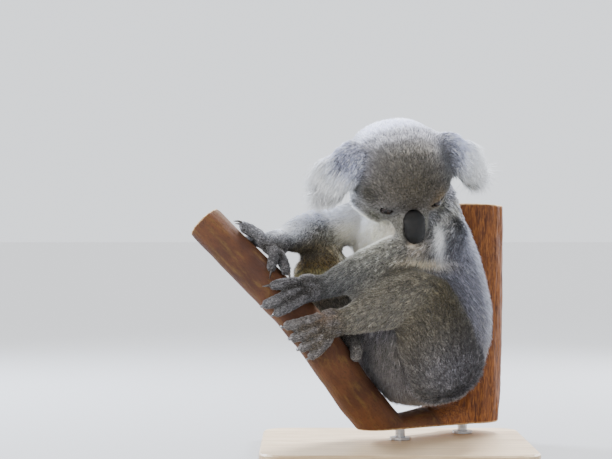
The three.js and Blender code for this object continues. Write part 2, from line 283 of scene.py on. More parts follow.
def arrays(mesh):
    """Points, triangles and edges of a mesh as arrays."""
    mesh.calc_loop_triangles()
    points = np.empty(len(mesh.vertices) * 3, np.float32)
    mesh.vertices.foreach_get("co", points)
    faces = np.empty(len(mesh.loop_triangles) * 3, np.int32)
    mesh.loop_triangles.foreach_get("vertices", faces)
    edges = np.empty(len(mesh.edges) * 2, np.int32)
    mesh.edges.foreach_get("vertices", edges)
    return points.reshape(-1, 3).astype(float), faces.reshape(-1, 3), edges.reshape(-1, 2)


def averaged(values, edges, rounds, share=1.0):
    """Moves each value towards the average of its neighbours', round after round."""
    first, second = edges.T
    count = np.bincount(edges.ravel(), minlength=len(values))[:, None].clip(1)
    share = np.broadcast_to(np.asarray(share, float).reshape(-1, 1), (len(values), 1))
    for _ in range(rounds):
        total = np.stack(
            [
                np.bincount(first, column[second], len(values))
                + np.bincount(second, column[first], len(values))
                for column in values.T
            ],
            1,
        )
        values = values + share * (total / count - values)
    return values


def unit(vectors):
    return vectors / np.linalg.norm(vectors, axis=-1, keepdims=True).clip(1e-9)


def normals_of(points, faces):
    a, b, c = (points[faces[:, k]] for k in range(3))
    across = np.cross(b - a, c - a)
    columns = [np.bincount(faces.ravel(), np.repeat(across[:, k], 3), len(points)) for k in range(3)]
    return unit(np.stack(columns, 1))


def smooth_step(values, low, high):
    share = ((values - low) / (high - low)).clip(0, 1)
    return share * share * (3 - 2 * share)


def lumps(points, size, seed):
    """A soft random value of about -1 to 1 at each point, with lumps of the given size."""
    shift = Vector((seed * 7.3, seed * 3.1, seed * 5.7))
    return np.array([noise.noise(Vector(p) + shift) for p in points / np.asarray(size)])


def move_to(mesh, points):
    mesh.vertices.foreach_set("co", points.astype(np.float32).ravel())
    mesh.update()


# The middle line of each limb of the fork, from its cut top down to the fork.
LIMBS = [
    np.array([(-266, -70, 326), (-210, -88, 270), (-172, -98, 233), (-131, -100, 190),
              (-101, -86, 150), (-64, -44, 94), (-26, -8, 46), (8, 18, 8)]) * MM,
    np.array([(124, 122, 352), (118, 112, 170), (108, 96, 14)]) * MM,
]
LIMB_TOPS = [unit(line[0] - line[1]) for line in LIMBS]


def along_limb(points, line):
    """How far each point is from a limb's middle line, how far down it, and its offset from it."""
    best = np.full(len(points), 9.0)
    down, offset, passed = np.zeros(len(points)), np.zeros_like(points), 0.0
    for a, b in zip(line, line[1:]):
        length = np.linalg.norm(b - a)
        way = (b - a) / length
        reach = ((points - a) @ way).clip(0, length)
        apart = points - a - reach[:, None] * way
        far = np.linalg.norm(apart, axis=1)
        nearer = far < best
        best[nearer], down[nearer], offset[nearer] = far[nearer], passed + reach[nearer], apart[nearer]
        passed += length
    return best, down, offset


BARK_VOXEL = 2.1 * MM
CUT_REACH = 0.058  # how far from a limb's middle line its sawn end can be
CUT_UNDERSIDE = -35.6 * MM, -34.6 * MM

perch_mesh = remeshed(merged_copy(["perch"], 0), BARK_VOXEL)
points, faces, edges = arrays(perch_mesh)
measured = [along_limb(points, line) for line in LIMBS]
upright = smooth_step(measured[0][0] - measured[1][0] + 0.019, -0.012, 0.012)[:, None]
ends = np.zeros(len(points))
for line, top in zip(LIMBS, LIMB_TOPS):
    above = (points - line[0]) @ top
    near = np.linalg.norm(points - line[0], axis=1) < CUT_REACH
    ends = np.maximum(ends, smooth_step(above, -2.0 * MM, -0.6 * MM) * near)
ends = np.maximum(ends, smooth_step(-points[:, 2], *CUT_UNDERSIDE))
points = averaged(points, edges, 16, 0.6 * (1 - ends))
outward = normals_of(points, faces)
straight = np.stack(
    [
        (1 - upright[:, 0]) * measured[0][2][:, axis] + upright[:, 0] * measured[1][2][:, axis]
        for axis in (0, 1)
    ]
    + [(1 - upright[:, 0]) * measured[0][1] + upright[:, 0] * (measured[1][1] + 1.0)],
    1,
)
fibres = lumps(straight, (5 * MM, 5 * MM, 60 * MM), 1)
fibres += 0.6 * lumps(straight, (2.6 * MM, 2.6 * MM, 24 * MM), 2)
swells = lumps(points, 45 * MM, 3)
knots = lumps(straight, (16 * MM, 16 * MM, 22 * MM), 4)
relief = (0.25 + 0.95 * upright[:, 0]) * fibres + 0.9 * swells + 0.5 * knots
points += outward * (relief * (1 - ends) * MM)[:, None]
move_to(perch_mesh, points)
limb_space = perch_mesh.attributes.new("limb_space", "FLOAT_VECTOR", "POINT")
limb_space.data.foreach_set("vector", straight.astype(np.float32).ravel())
for name, values in (("upright", upright[:, 0]), ("sawn", ends)):
    perch_mesh.attributes.new(name, "FLOAT", "POINT").data.foreach_set("value", values.astype(np.float32))


def attribute(wire, name, output):
    return wire.add("ShaderNodeAttribute", {"attribute_name": name}, None, output)


RING_WAVES = 2300.0  # the sawn ends' growth rings, in radians to the metre

bark, place, shader = finish("gum_bark", 0.75, specular_ior_level=0.35)
limb = attribute(place, "limb_space", "Vector")
stem = attribute(place, "upright", "Fac")
sawn = attribute(place, "sawn", "Fac")
threads = limb.stretched(1.0, 1.0, 0.12).noise(620.0, 4.0)
strips = limb.stretched(1.0, 1.0, 0.16).noise(170.0, 5.0)
clouds = limb.stretched(1.0, 1.0, 0.5).noise(26.0, 4.0)
flecks = limb.stretched(1.0, 1.0, 0.3).noise(760.0, 5.0, 0.65)
smooth_bark = clouds.step(0.34, 0.68).mix(opaque(60, 30, 14), opaque(92, 54, 26))
smooth_bark = (strips.step(0.48, 0.7) * 0.5).mix(smooth_bark, opaque(104, 80, 40))
smooth_bark = (flecks.step(0.5, 0.66) * 0.5).mix(smooth_bark, opaque(40, 22, 12))
fibrous_bark = strips.step(0.32, 0.7).mix(opaque(70, 34, 11), opaque(114, 64, 24))
fibrous_bark = (threads.step(0.46, 0.6) * 0.8).mix(fibrous_bark, opaque(138, 84, 36))
fibrous_bark = (flecks.step(0.54, 0.66) * 0.6).mix(fibrous_bark, opaque(58, 28, 11))
bark_colour = stem.mix(smooth_bark, fibrous_bark)
waves = limb.stretched(1, 1, 0).far() * RING_WAVES + 3.0 * clouds
rings = waves.math("SINE", waves)
end_colour = rings.step(-0.4, 0.9).mix(opaque(206, 172, 124), opaque(176, 134, 88))
into(sawn.mix(bark_colour, end_colour), shader["Base Color"])
into(0.62 + 0.25 * strips, shader["Roughness"])
into(bump(threads * 0.6 + strips + flecks * 0.5, 0.5, 0.0016), shader["Normal"])
perch = object_of("tree_fork", perch_mesh, bark)
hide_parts("perch")
perch_points, perch_faces = points, faces

# ---- The skin -----------------------------------------------------------------------------------
# One hide over the whole animal, as a taxidermist stretches it on a form: it lies inside the outline
# by the depth of the fur, with the folds of the face, lids round the eyes and a closed mouth.

SIDES = (("left", 1), ("right", -1))
FLESH = ["head", "neck", "trunk"] + [
    f"{part}_{side}"
    for part in ("ear", "upper_arm", "forearm", "hand", "thigh", "shin", "foot")
    for side, _ in SIDES
]
head_frame = (
    Matrix.Translation(Vector((4, -80, 387)) * MM)
    @ Matrix.Rotation(math.radians(26), 4, "Z")
    @ Matrix.Rotation(math.radians(53), 4, "X")
    @ Matrix.Rotation(math.radians(-15), 4, "Y")
)
HEAD = np.array(head_frame)


def head_to_world(x, y, z):
    return (HEAD @ np.array((x * MM, y * MM, z * MM, 1.0)))[:3]


def in_head(points):
    """Points in the head's own millimetres: x to its left, y to its back, z up."""
    return (points - HEAD[:3, 3]) @ HEAD[:3, :3] / MM


def turned_in_head(x, y, z):
    return HEAD[:3, :3] @ np.array((x, y, z), float)


EYE_RADIUS = 9.0
EYES = {side: np.array((34.5 * sign, -46.0, 0.0)) for side, sign in SIDES}
SOCKET_WAYS = {side: unit(np.array((0.5 * sign, -0.86, 0.0))) for side, sign in SIDES}
NOSE_TIP = head_to_world(0, -84, -26)

HIDE_VOXEL = 2.75 * MM

hide_mesh = remeshed(merged_copy(FLESH, 0.5 * MM), HIDE_VOXEL)


def refined(mesh, centre, radius):
    """Halves the faces of a mesh near a point."""
    work = bmesh.new()
    work.from_mesh(mesh)
    close = [
        edge
        for edge in work.edges
        if ((edge.verts[0].co + edge.verts[1].co) / 2 - Vector(centre)).length < radius
    ]
    bmesh.ops.subdivide_edges(work, edges=close, cuts=1, use_grid_fill=True)
    bmesh.ops.triangulate(work, faces=work.faces)
    work.to_mesh(mesh)
    work.free()


refined(hide_mesh, head_to_world(0, -62, -18), 52 * MM)
for side, sign in SIDES:
    refined(hide_mesh, head_to_world(*(EYES[side] + 8 * SOCKET_WAYS[side])), 15 * MM)
points, faces, edges = arrays(hide_mesh)

owner_faces, owner_points, owner_parts = [], [], []
for index, node in enumerate(FLESH):
    node_points, node_faces, _ = arrays(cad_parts[node].data)
    owner_faces.append(node_faces + sum(map(len, owner_points)))
    owner_points.append(node_points)
    owner_parts += [index] * len(node_faces)
owners = BVHTree.FromPolygons(np.concatenate(owner_points).tolist(), np.concatenate(owner_faces).tolist())
owner = np.array([owner_parts[owners.find_nearest(p)[2]] for p in points.tolist()])

# Each part's fur: its depth and the length of its tufts in mm, how far they stand up in degrees, and
# their width in mm.
FUR = {
    "head": (4.0, 9.0, 34, 0.95),
    "ear": (2.5, 20.0, 18, 1.0),
    "neck": (8.0, 16.0, 34, 1.15),
    "trunk": (9.0, 15.5, 38, 1.2),
    "upper_arm": (7.5, 14.0, 38, 1.15),
    "forearm": (5.0, 10.5, 36, 1.05),
    "hand": (-0.6, 4.0, 22, 0.8),
    "thigh": (7.5, 14.0, 38, 1.15),
    "shin": (5.0, 10.5, 36, 1.05),
    "foot": (-0.4, 4.0, 22, 0.8),
}
kinds = [name.removesuffix("_left").removesuffix("_right") for name in FLESH]
fur = np.array([FUR[kind] for kind in kinds], float)[owner]
is_paw = np.isin(owner, [i for i, kind in enumerate(kinds) if kind in ("hand", "foot")]).astype(float)
is_head = (owner == 0).astype(float)
soft_paw = averaged(is_paw[:, None], edges, 6)[:, 0]
soft_head = averaged(is_head[:, None], edges, 6)[:, 0]
for _ in range(3):
    points = averaged(points, edges, 8, 0.62 * (1 - 0.96 * soft_paw) * (1 - 0.78 * soft_head))
fur = averaged(fur, edges, 16)
local = in_head(points)
nose_way = np.linalg.norm(points - NOSE_TIP, axis=1) / MM
facial = soft_head * (1 - smooth_step(nose_way, 45, 100))
fur[:, 0] *= 1 - 0.72 * facial
depth = fur[:, 0] * MM
points = points - normals_of(points, faces) * depth[:, None]

# The ears' flesh is shorter and thinner than the outline, which the fringe of long hair fills.
EAR_LENGTH, EAR_THINNING = 0.72, 0.25
EARS = {}
for side, sign in SIDES:
    droop = 7 * MM if side == "left" else 0
    root = head_to_world(58 * sign, 16, 34) - (0, 0, droop)
    tip = head_to_world(122 * sign, -10, -18) - (0, 0, droop)
    EARS[side] = (root, tip)
    weight = averaged((owner == FLESH.index(f"ear_{side}"))[:, None].astype(float), edges, 5)
    way = unit(tip - root)
    across = unit(turned_in_head(0.05 * sign, 0.88, 0.45))
    reach = (points - root) @ way
    thick = (points - root) @ across
    drawn_in = -(1 - EAR_LENGTH) * reach.clip(0)[:, None] * way - EAR_THINNING * thick[:, None] * across
    points = points + weight * drawn_in

points = averaged(points, edges, 3, 0.5 * (1 - soft_paw))
local = in_head(points)

# Folds of the face: the brows, the hollow between the eyes and the nose, and the closed mouth.


def blob(centre, radii, where):
    """1 at a centre, falling softly to 0 at about twice its radii."""
    return np.exp(-(((where - np.array(centre)) / np.array(radii)) ** 2).sum(1))


is_crown = np.isin(owner, [FLESH.index(node) for node in ("head", "ear_left", "ear_right")])
soft_crown = averaged(is_crown[:, None].astype(float), edges, 6)[:, 0]
push = np.zeros(len(points))
for side, sign in SIDES:
    push += 1.5 * blob((33 * sign, -50, 11), (13, 12, 4.5), local)
    push += 9.0 * blob((66 * sign, 30, 42), (17, 17, 15), local)
    push -= 1.6 * blob((22 * sign, -58, -4), (5, 9, 9), local)
    push += 1.2 * blob((38 * sign, -46, -13), (13, 12, 4.5), local)
    push += 1.5 * blob((15 * sign, -72, -38), (8, 10, 8), local)
lip = -43.5 - 0.012 * local[:, 0] ** 2
in_front = 1 - smooth_step(local[:, 1], -52, -38)
slit = np.exp(-(((local[:, 2] - lip) / 1.3) ** 2)) * in_front * (1 - smooth_step(abs(local[:, 0]), 14, 22))
push -= 2.2 * slit
points = points + normals_of(points, faces) * (push * soft_crown * MM)[:, None]

# Lids: round each eye the skin sits just off the eyeball, and inside the opening it goes behind it.
LID_HALF_WIDTH, LID_HALF_HEIGHT = 7.0, 4.9
LID_RIM_TONE = linear(138, 106, 82)
local = in_head(points)
rim = np.full(len(points), 99.0)
for side, sign in SIDES:
    ahead = SOCKET_WAYS[side]
    aside = unit(np.cross(ahead, (0, 0, 1)))
    above = np.cross(aside, ahead)
    offset = local - EYES[side]
    radius = np.linalg.norm(offset, axis=1)
    x = np.arctan2(offset @ aside, offset @ ahead) * EYE_RADIUS
    y = np.arctan2(offset @ above, offset @ ahead) * EYE_RADIUS
    slant = 0.22 * x * sign
    lid = np.hypot(x / LID_HALF_WIDTH, (y + slant + 0.4) / LID_HALF_HEIGHT)
    lid = np.where(radius < 26, lid, 99)
    hidden = EYE_RADIUS - 2.4
    margin = EYE_RADIUS + 1.5
    wanted = np.where(lid < 1, hidden + (margin - hidden) * smooth_step(lid, 0.86, 1.0), margin)
    hold = 1 - smooth_step(lid, 1.25, 2.6)
    crease = -0.9 * np.exp(-(((lid - 1.75) / 0.16) ** 2)) * (y > -2)
    local = local + offset / radius.clip(1)[:, None] * (hold * (wanted - radius) + crease)[:, None]
    rim = np.minimum(rim, lid)
points = local * MM @ HEAD[:3, :3].T + HEAD[:3, 3]
move_to(hide_mesh, points)
normals = normals_of(points, faces)

# ---- Markings -----------------------------------------------------------------------------------
# Grey fur with pale tips, browner on the face and knees, cream on the throat, chest and inner
# limbs, white on the rims of the ears, and a freckled pale rump. Over these go painted light and
# shade: painted highlights on the crown, the far arm's top, the back and the knuckles, and painted
# shade under the far arm, on the near arm under the chin, between arm and thigh, on the far knee,
# on the sides of the face, round the ears' roots and in the paws' hollows. Hide and fur share
# these.

TONES = {
    "head": (104, 100, 97),
    "ear": (186, 190, 214),
    "neck": (150, 150, 160),
    "trunk": (126, 126, 140),
    "upper_arm": (82, 83, 88),
    "forearm": (80, 81, 82),
    "hand": (44, 40, 38),
    "thigh": (84, 78, 64),
    "shin": (112, 106, 92),
    "foot": (82, 72, 60),
}
tone = np.array([linear(*TONES[kind]) for kind in kinds])[owner]
tone = averaged(tone, edges, 30)


def paint(centre, radii, colour, strength, where):
    """Lays a soft patch of colour on the hide."""
    share = (strength * blob(centre, radii, where)).clip(0, 1)[:, None]
    tone[:] = tone * (1 - share) + linear(*colour) * share


body = points / MM
paint((-40, -30, 300), (50, 60, 52), (254, 251, 230), 1.3, body)
# The far knee: its own browner tone, darkened further as painted shade where it lies between the arms.
paint((-113, -20, 268), (54, 44, 36), (126, 104, 58), 1.1, body)
paint((-112, -34, 254), (44, 34, 8), (208, 196, 140), 0.9, body)
# Painted highlights: the top of the far arm and the end of its forearm in pale blue-white, where the rim
# lamps catch them.
paint((-125, -30, 340), (90, 80, 15), (216, 222, 242), 1.1, body)
paint((-150, -72, 320), (36, 44, 15), (240, 244, 255), 1.1, body)
# Painted shade on the underside of the far arm.
paint((-128, -40, 284), (46, 44, 12), (74, 70, 58), 0.9, body)
paint((35, -90, 273), (34, 28, 7), (244, 228, 198), 1.0, body)
paint((60, -70, 306), (9, 26, 28), (248, 249, 252), 1.0, body)
# Painted shadow of the head on the near arm, just under the chin.
paint((6, -104, 260), (36, 24, 11), (64, 59, 45), 0.9, body)
# Painted shade between the near arm and the thigh.
paint((66, -110, 222), (22, 40, 34), (82, 75, 56), 0.8, body)
paint((2, -132, 236), (26, 24, 15), (98, 94, 82), 0.7, body)
paint((-30, -80, 148), (74, 60, 44), (108, 100, 84), 0.8, body)
paint((-102, -118, 197), (13, 16, 9), (186, 146, 116), 0.9, body)
paint((40, 60, 78), (90, 70, 30), (176, 172, 166), 0.8, body)
paint((100, -20, 306), (34, 40, 26), (158, 160, 178), 0.8, body)
paint((76, -70, 118), (60, 70, 52), (120, 119, 128), 0.75, body)
paint((-50, 40, 140), (66, 56, 70), (116, 115, 126), 0.85, body)
# Painted highlight: a pale blue-white rim down the back.
paint((150, 60, 230), (40, 70, 100), (206, 210, 230), 0.9, body)
# The crown: partly its own pale fur, partly a painted highlight in pale blue-white where the light from
# above falls.
paint((0, 60, 46), (74, 32, 38), (204, 208, 232), 1.05, local)
paint((0, 24, 62), (60, 14, 16), (176, 175, 184), 0.8, local)
paint((0, -44, 34), (48, 30, 32), (86, 78, 62), 0.95, local)
paint((0, -14, 58), (46, 22, 18), (94, 88, 77), 0.85, local)
paint((0, -58, 10), (15, 16, 18), (82, 74, 61), 0.8, local)
for side, sign in SIDES:
    # Painted shade on the sides of the face, behind the eyes.
    paint((56 * sign, -30, 14), (12, 20, 20), (58, 54, 41), 0.95, local)
    paint((46 * sign, -42, -20), (17, 20, 14), (84, 83, 64), 0.9, local)
    paint((48 * sign, -26, -42), (24, 26, 8), (222, 217, 186), 0.95, local)
    paint((19 * sign, -64, -20), (9, 14, 15), (126, 124, 114), 0.95, local)
    # Painted shade where the ear meets the head.
    paint((67 * sign, -9, 17), (11, 14, 16), (64, 62, 54), 0.9, local)
    root, tip = EARS[side]
    reach = ((points - root) @ (tip - root)) / ((tip - root) @ (tip - root))
    beside = averaged((owner == FLESH.index(f"ear_{side}"))[:, None].astype(float), edges, 3)[:, 0]
    share = (beside * smooth_step(reach, 0.12, 0.42))[:, None]
    tone = tone * (1 - share) + linear(252, 254, 255) * share
    # Painted shade in olive grey on the inner side of the ear, near the head.
    paint((78 * sign, -10, 4), (13, 10, 12), (104, 105, 84), 0.95, local)
paint((-80, 12, 45), (17, 13, 12), (98, 103, 128), 0.85, local)
paint((54, -6, 38), (14, 20, 17), (52, 53, 62), 0.95, local)
paint((36, -50, 4), (12, 14, 15), (140, 112, 62), 0.75, local)
paint((0, -72, -47), (20, 22, 8), (230, 214, 194), 1.1, local)
paint((0, -40, -58), (30, 26, 14), (224, 219, 204), 0.9, local)
# Painted shade in the hollows between the fingers and toes, and a painted pale highlight on the knuckles.
hollow = ((averaged(points, edges, 12, 0.6) - points) * normals).sum(1) / MM * soft_paw
tone *= (1 - 0.65 * smooth_step(hollow, 0.05, 0.9))[:, None]
knuckle_highlight = 0.36 * smooth_step(-hollow, 0.3, 1.2)[:, None]
tone = tone * (1 - knuckle_highlight) + linear(132, 130, 134) * knuckle_highlight
freckles = lumps(points, 9 * MM, 11)[:, None]
tone *= 1 + 0.16 * freckles
share = (np.exp(-(((rim - 1.05) / 0.22) ** 2)) * 0.9)[:, None]
tone = tone * (1 - share) + LID_RIM_TONE * share
mouth = (slit * soft_head * 0.8).clip(0, 1)[:, None]
tone = tone * (1 - mouth) + linear(92, 62, 54) * mouth


def colour_points(mesh, colours):
    """Stores a colour at each point of a mesh."""
    layer = mesh.attributes.new("marking", "FLOAT_COLOR", "POINT")
    full = np.ones((len(colours), 4), np.float32)
    full[:, :3] = colours.clip(0, 1)
    layer.data.foreach_set("color", full.ravel())


def peppered(place, colour):
    """A marking with the small dark and light grains of a grizzled coat."""
    grains = place.noise(420.0, 3.0)
    paleness = colour.add("ShaderNodeRGBToBW", None, {0: colour}).step(0.25, 0.7)
    dark_grains = grains.step(0.5, 0.62) * (0.7 - 0.55 * paleness)
    darker = dark_grains.mix(colour, opaque(30, 27, 25))
    return ((1 - grains.step(0.34, 0.44)) * 0.1).mix(darker, opaque(214, 212, 214))


UNDERCOAT = 0.62  # the hide's own share of the coat's brightness
colour_points(hide_mesh, tone * UNDERCOAT)
hide_finish, place, shader = finish("hide", 0.85, specular_ior_level=0.2)
marking = attribute(place, "marking", "Color")
speck = place.noise(900.0, 3.0)
into(peppered(place, marking), shader["Base Color"])
into(bump(speck, 0.5, 0.0008), shader["Normal"])
hide = object_of("hide", hide_mesh, hide_finish)

# A map of the hide, laid flat, places each tuft's own small patch of colour.
bpy.context.view_layer.objects.active = hide
hide.select_set(True)
bpy.ops.object.mode_set(mode="EDIT")
bpy.ops.mesh.select_all(action="SELECT")
bpy.ops.uv.smart_project(angle_limit=math.radians(66), island_margin=0.002)
bpy.ops.object.mode_set(mode="OBJECT")
hide.data.uv_layers.active.name = "OFBake"
corner_places = np.empty(len(hide.data.loops) * 2, np.float32)
hide.data.uv_layers["OFBake"].data.foreach_get("uv", corner_places)
corner_places = corner_places.reshape(-1, 2)
hide.data.calc_loop_triangles()
corners = np.empty(len(hide.data.loop_triangles) * 3, np.int32)
hide.data.loop_triangles.foreach_get("loops", corners)
corner_places = corner_places[corners.reshape(-1, 3)]
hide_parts(*FLESH)

# ---- The fur ------------------------------------------------------------------------------------
# Dense woolly fur in thin tufts that overlap and lie along the body, away from the nose and down
# the limbs: short on the face and paws, long on the back, and a loose white fringe on the ears.

WAYS = {
    "upper_arm_left": ((74, -42, 314), (4, -80, 281)),
    "forearm_left": ((4, -80, 281), (-103, -112, 238)),
    "hand_left": ((-103, -112, 238), (-152, -126, 222)),
    "upper_arm_right": ((-38, 28, 328), (-108, 18, 316)),
    "forearm_right": ((-108, 18, 316), (-156, -60, 303)),
    "hand_right": ((-156, -60, 303), (-212, -84, 300)),
    "thigh_left": ((66, -34, 122), (30, -112, 230)),
    "shin_left": ((30, -112, 230), (-72, -116, 192)),
    "foot_left": ((-72, -116, 192), (-126, -130, 186)),
    "thigh_right": ((-12, 42, 136), (-108, 2, 254)),
    "shin_right": ((-108, 2, 254), (-62, -28, 172)),
    "foot_right": ((-62, -28, 172), (-100, -52, 160)),
}
SOURCES = {"head": NOSE_TIP, "neck": head_to_world(0, -30, 0), "trunk": np.array((4, -60, 400)) * MM}
lie = np.zeros_like(points)
for index, node in enumerate(FLESH):
    mine = owner == index
    if node in WAYS:
        start, end = np.array(WAYS[node], float)
        lie[mine] = unit(end - start)
    elif node in SOURCES:
        lie[mine] = unit(points[mine] - SOURCES[node])
    else:
        root, tip = EARS[node.removeprefix("ear_")]
        lie[mine] = 0.7 * unit(tip - root) + 0.7 * unit(points[mine] - root) - (0, 0, 0.2)
DROOP = 0.3
lie[:, 2] -= DROOP * (1 - soft_paw) * (1 - facial)


def tangent(vectors, normals):
    return unit(vectors - (vectors * normals).sum(1, keepdims=True) * normals)


lie = tangent(averaged(tangent(lie, normals), edges, 14), normals)

on_ear = np.isin(owner, [FLESH.index("ear_left"), FLESH.index("ear_right")])
is_ear = averaged(on_ear[:, None].astype(float), edges, 2)[:, 0]
ear_reach = np.zeros(len(points))
for side, _ in SIDES:
    root, tip = EARS[side]
    reach = ((points - root) @ (tip - root)) / ((tip - root) @ (tip - root))
    ear_reach = np.maximum(ear_reach, reach * (owner == FLESH.index(f"ear_{side}")))
fur[:, 1] = fur[:, 1] * (1 - is_ear) + is_ear * (11 + 31 * smooth_step(ear_reach, 0.08, 0.55))
face_length = 2.0 + 6.2 * smooth_step(nose_way, 22, 105)
fur[:, 1] = fur[:, 1] * (1 - soft_head * (1 - is_ear)) + face_length * soft_head * (1 - is_ear)
fur[:, 3] *= 1 - 0.35 * facial
fur[:, 3] *= 1 - 0.22 * soft_head * (1 - is_ear)

# Where the roots stand: an even random scatter over the hide, left out at the eyes.
SEED = 1863
rng = np.random.default_rng(SEED)
a, b, c = (points[faces[:, k]] for k in range(3))
areas = np.linalg.norm(np.cross(b - a, c - a), axis=1) / 2 / MM**2


def mean(values):
    return (values[faces[:, 0]] + values[faces[:, 1]] + values[faces[:, 2]]) / 3


fine = mean(np.maximum(soft_paw, facial)) > 0.35
is_long = np.isin(owner, [i for i, kind in enumerate(kinds) if kind in ("ear", "neck")])[faces[:, 0]]
LONG_DENSITY, BODY_DENSITY, FINE_DENSITY = 0.4, 0.9, 1.05
density = np.where(
    is_long, LONG_DENSITY * (1 + 1.6 * mean(is_ear)), BODY_DENSITY * (1 + 0.6 * mean(soft_head))
)
density[fine] = FINE_DENSITY
density *= mean(rim) > 1.28
count = rng.poisson(areas * density)
root_face = np.repeat(np.arange(len(faces)), count)
share = rng.random((len(root_face), 2))
flip = share.sum(1) > 1
share[flip] = 1 - share[flip]
shares = np.column_stack([1 - share.sum(1), share])


def at_root(values):
    """A value stored at the hide's points, at each tuft's root."""
    if values.ndim == 1:
        values = values[:, None]
        return np.einsum("nk,nkc->nc", shares, values[faces[root_face]])[:, 0]
    return np.einsum("nk,nkc->nc", shares, values[faces[root_face]])


SCATTER, TIP_DROOP = 0.16, 0.12

root = at_root(points)
up = unit(at_root(normals))
way = tangent(at_root(lie), up)
look = at_root(fur)
tint = at_root(tone)
root_map = np.einsum("nk,nkc->nc", shares, corner_places[root_face])
small = fine[root_face]
total = len(root)
way = tangent(way + rng.normal(0, SCATTER, (total, 3)), up)
length = look[:, 1] * rng.uniform(0.72, 1.22, total) * MM
lift = np.radians(look[:, 2] * rng.uniform(0.6, 1.35, total))
width = look[:, 3] * rng.uniform(0.75, 1.25, total) * MM
aside = np.cross(up, way)
rise = np.cos(lift)[:, None] * way + np.sin(lift)[:, None] * up
fall = np.cos(lift * 0.25)[:, None] * way + np.sin(lift * 0.25)[:, None] * up
fall[:, 2] -= TIP_DROOP * (1 - small)
fall = unit(fall)
middle = root + rise * (0.5 * length)[:, None]
tip = middle + fall * (0.5 * length)[:, None]

# Neighbouring tufts lean together at their tips, as wool does.
CLUMP, CLUMP_PULL = 28, 0.36
leaders = rng.choice(total, total // CLUMP, replace=False)
tree = KDTree(len(leaders))
for number, leader in enumerate(leaders):
    tree.insert(root[leader], number)
tree.balance()
leader = leaders[np.array([tree.find(p)[1] for p in root.tolist()])]
pull = CLUMP_PULL * rng.uniform(0.4, 1.0, total) * (1 - 0.5 * small) * (1 - 0.75 * at_root(soft_head))
pull = pull[:, None]
offset = root - root[leader]
tip -= pull * offset * 0.8
middle -= pull * offset * 0.3

# Tufts that would grow into the tree are left out.
bark_tree = BVHTree.FromPolygons(perch_points.tolist(), perch_faces.tolist())


def in_tree(place):
    near, normal, _, gap = bark_tree.find_nearest(place, 0.03)
    return near is not None and (Vector(place) - near).dot(normal) < -0.0012


keep = np.array([not in_tree(place) for place in (middle * 0.4 + tip * 0.6).tolist()])
eyes_clear = np.ones(total, bool)
for side, _ in SIDES:
    eye = head_to_world(*EYES[side])
    gap = np.minimum(np.linalg.norm(tip - eye, axis=1), np.linalg.norm(middle - eye, axis=1))
    eyes_clear &= gap > (EYE_RADIUS + 1.0) * MM
keep &= eyes_clear

# Pale tips, dark roots, and here and there a tuft that is darker or lighter than the rest.
DARK_BELOW, DARK, PALE_ABOVE, PALE = 0.3, 0.42, 0.76, 1.75
speckle = rng.random(total)
grizzle = 1 - 0.7 * at_root(facial)
flecks = 1.25 * lumps(root, 3.4 * MM, 21)
shade = np.exp(rng.normal(0, 0.2, total) + flecks + 0.4 * lumps(root, 8 * MM, 22))
shade *= np.where(speckle < DARK_BELOW, DARK, np.where(speckle > PALE_ABOVE, PALE, 1.0))
pale = smooth_step(tint.mean(1), 0.3, 0.65)
shade = 1 + (shade - 1) * (1 - 0.72 * pale) * grizzle
warm = rng.normal(0, 0.03, (total, 1)) * np.array((1.0, 0.1, -1.0))
root_tint = tint * (0.45 + 0.5 * pale)[:, None]
tip_tint = (tint * (1.3 * shade)[:, None] * (1 + warm)).clip(0.01, 0.97)
middle_tint = (root_tint + tip_tint) / 2


ROOT_DEPTH = 0.6 * MM
PATCH = 0.001  # the size of a tuft's patch on the hide's map


def lock_meshes(chosen):
    """Points, triangles, colours and map of bent tufts: two rings of three and a tip, closed."""
    side_way, up_way = aside[chosen], up[chosen]
    half = width[chosen][:, None] / 2
    rings = []
    for centre, size, sunk in ((root[chosen], 0.8, ROOT_DEPTH), (middle[chosen], 1.0, 0)):
        low = centre - up_way * (sunk + half * size * 0.45)
        wide = side_way * half * size
        rings += [low + wide, centre + up_way * (half * size * 0.5 - sunk), low - wide]
    corners = np.stack([*rings, tip[chosen]], 1)
    pattern = np.array([(0, 2, 1), (0, 1, 4), (0, 4, 3), (1, 2, 5), (1, 5, 4), (2, 0, 3), (2, 3, 5),
                        (3, 4, 6), (4, 5, 6), (5, 3, 6)])
    patch = [((0, 0), (0.4, 0), (0.2, 0.3))]
    for k in range(3):
        patch += [((k, 0), (k + 1, 0), (k + 1, 1.5)), ((k, 0), (k + 1, 1.5), (k, 1.5))]
    patch = np.array(patch + [((k, 1.5), (k + 1, 1.5), (k + 0.5, 3)) for k in range(3)])
    tints = np.stack([root_tint[chosen]] * 3 + [middle_tint[chosen]] * 3 + [tip_tint[chosen]], 1)
    return corners, pattern, tints, patch


def spike_meshes(chosen):
    """The same for the smallest tufts: a ring of three and a tip."""
    side_way, up_way = aside[chosen], up[chosen]
    half = width[chosen][:, None] / 2
    low = root[chosen] - up_way * 0.6 * MM
    wide = side_way * half
    corners = np.stack([low + wide, low + up_way * half * 1.2, low - wide, tip[chosen]], 1)
    pattern = np.array([(0, 2, 1), (0, 1, 3), (1, 2, 3), (2, 0, 3)])
    sides = [((k, 0), (k + 1, 0), (k + 0.5, 3)) for k in range(3)]
    patch = np.array([((0, 0), (0.4, 0), (0.2, 0.3)), *sides])
    tints = np.stack([root_tint[chosen] * 1.1] * 3 + [tip_tint[chosen]], 1)
    return corners, pattern, tints, patch


coat_finish, place, shader = finish(
    "fur", 0.72, specular_ior_level=0.25, sheen_weight=0.25, sheen_roughness=0.5
)
marking = attribute(place, "marking", "Color")
into(peppered(place, marking), shader["Base Color"])


